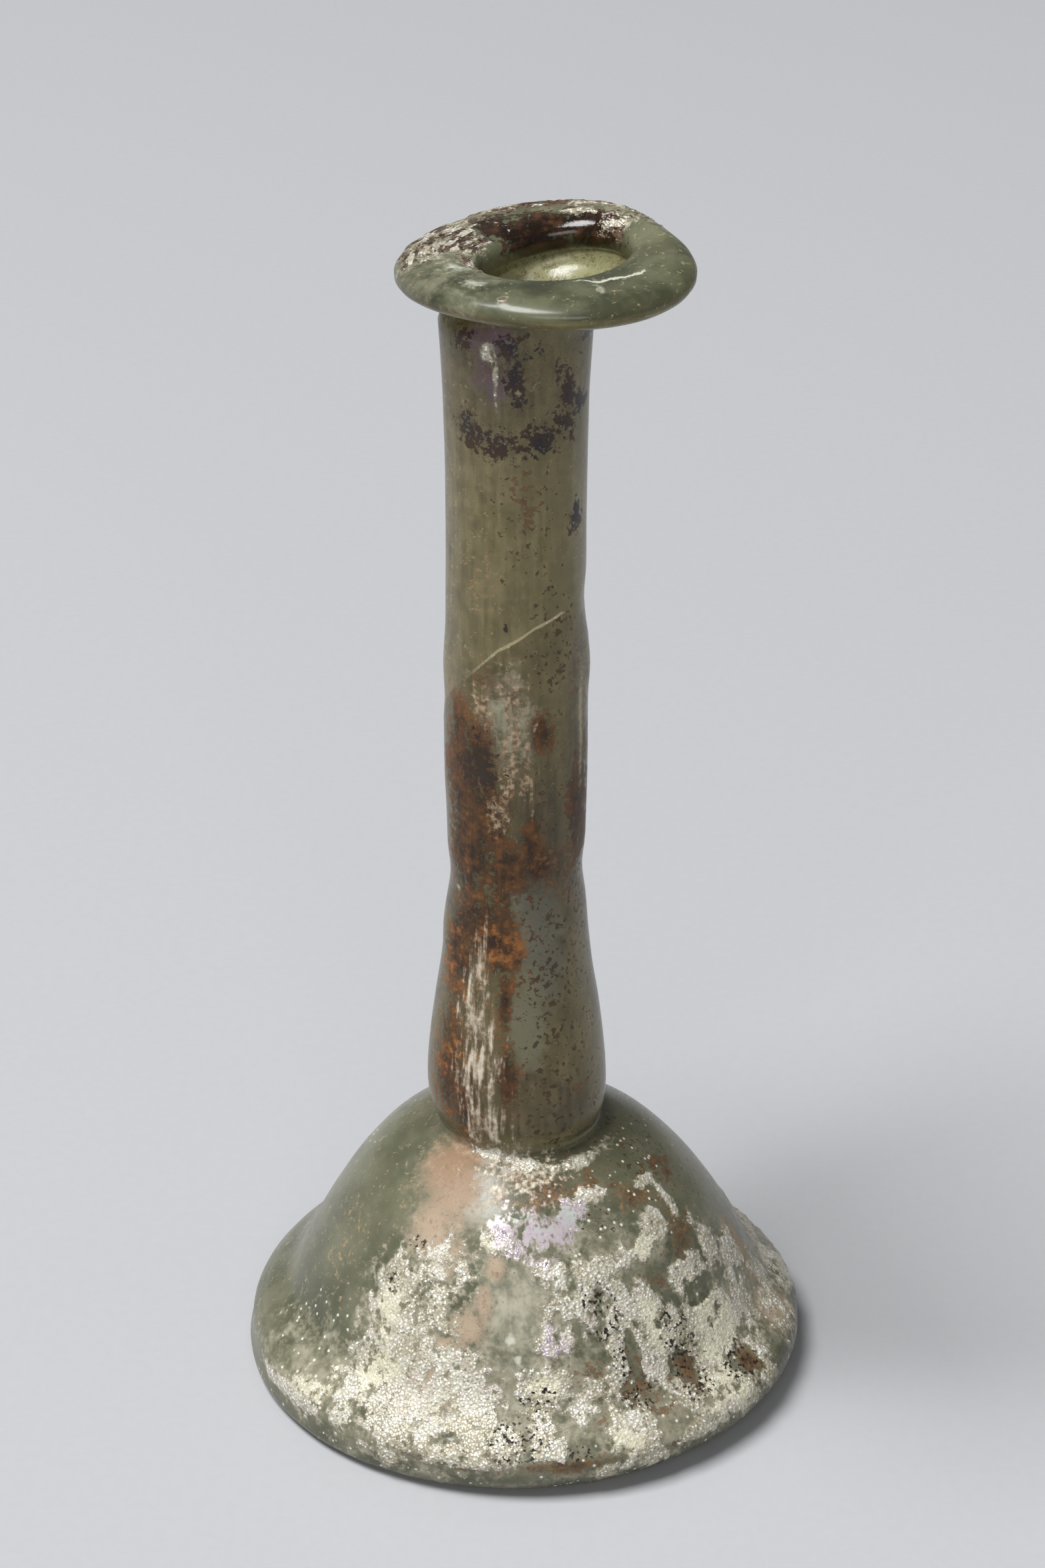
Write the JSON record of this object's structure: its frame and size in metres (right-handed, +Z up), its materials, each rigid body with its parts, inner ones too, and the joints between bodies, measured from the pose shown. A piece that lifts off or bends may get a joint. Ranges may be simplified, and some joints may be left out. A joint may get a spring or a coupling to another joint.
{
  "type": "glass perfume flask",
  "caption": "Free-blown glass perfume flask with a bell-shaped body, a tall slender neck and a broad folded rim; ancient candlestick form, hollow and open at the mouth.",
  "frame": {"origin": "on the ground, under the middle of the flask's bounding box", "axes": "+Z up along the neck, -Y towards the side that is shown in the picture, +X to the right in that view"},
  "size_m": [0.0753, 0.075, 0.1607],
  "materials": {
    "weathered_glass": "satin"
  },
  "bodies": {
    "root": {"flask": "weathered_glass"}
  },
  "joints": []
}
